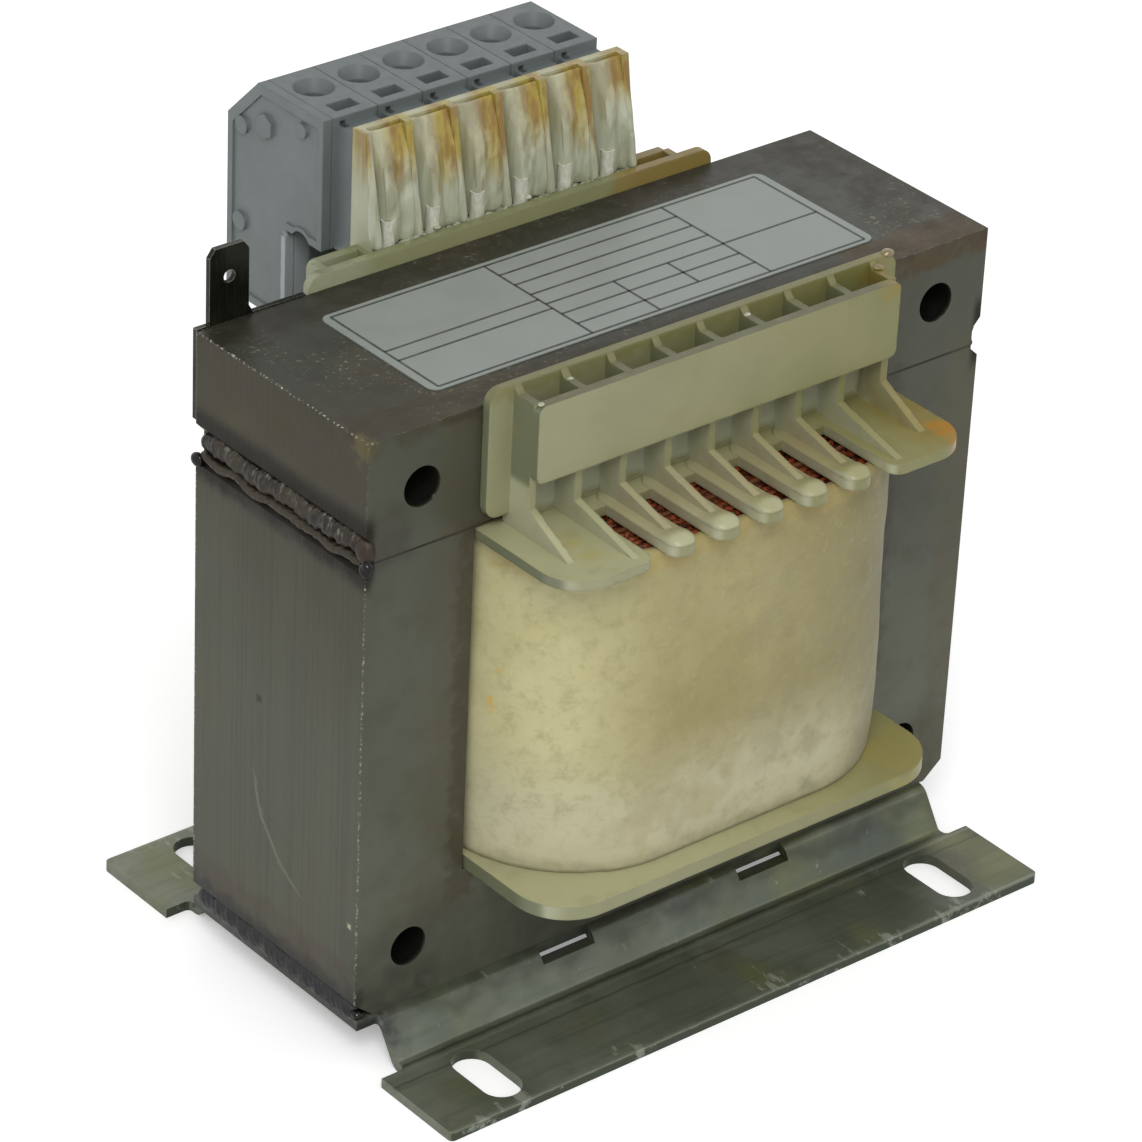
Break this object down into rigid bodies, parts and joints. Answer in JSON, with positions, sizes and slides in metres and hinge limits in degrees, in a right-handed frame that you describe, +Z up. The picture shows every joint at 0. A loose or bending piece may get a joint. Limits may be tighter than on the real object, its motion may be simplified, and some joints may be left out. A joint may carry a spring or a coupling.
{
  "type": "laminated chassis transformer",
  "caption": "Laminated E-I core transformer on a folded mounting base, with a wound bobbin, a row of spring terminals on a wire guide and an earth tab.",
  "frame": {"origin": "under the middle of the core, on the plane of the feet", "axes": "+X along the wide face of the core, to the right as seen from the front; +Y through the stack towards the terminals at the rear; +Z up"},
  "size_m": [0.1062, 0.0904, 0.1124],
  "materials": {
    "lamination": "varnished, dull",
    "weld": "rough, heat tinted",
    "zinc_sheet": "galvanised, satin",
    "tinned_metal": "bright",
    "bobbin_plastic": "satin",
    "copper_wire": "enamelled and varnished",
    "wrap": "fibrous",
    "comb_plastic": "satin",
    "terminal_plastic": "satin",
    "spring_steel": "bright",
    "label_film": "satin"
  },
  "bodies": {
    "root": {"core_e_stack": "lamination", "core_i_yoke": "lamination", "weld_joint_left": "weld", "weld_joint_right": "weld", "weld_base_left": "weld", "weld_base_right": "weld", "base_plate": "zinc_sheet", "earth_tab_plate": "tinned_metal", "bobbin": "bobbin_plastic", "inner_winding": "copper_wire", "winding_insulation": "wrap", "outer_winding": "copper_wire", "outer_wrap": "wrap", "wire_comb": "comb_plastic", "lead_sleeves": "comb_plastic", "lead_wires": "copper_wire", "terminal_1": "terminal_plastic", "terminal_2": "terminal_plastic", "terminal_3": "terminal_plastic", "terminal_4": "terminal_plastic", "terminal_5": "terminal_plastic", "terminal_6": "terminal_plastic", "terminal_end_plate": "terminal_plastic", "clamp_springs": "spring_steel", "current_bars": "tinned_metal", "rating_label": "label_film"}
  },
  "joints": []
}
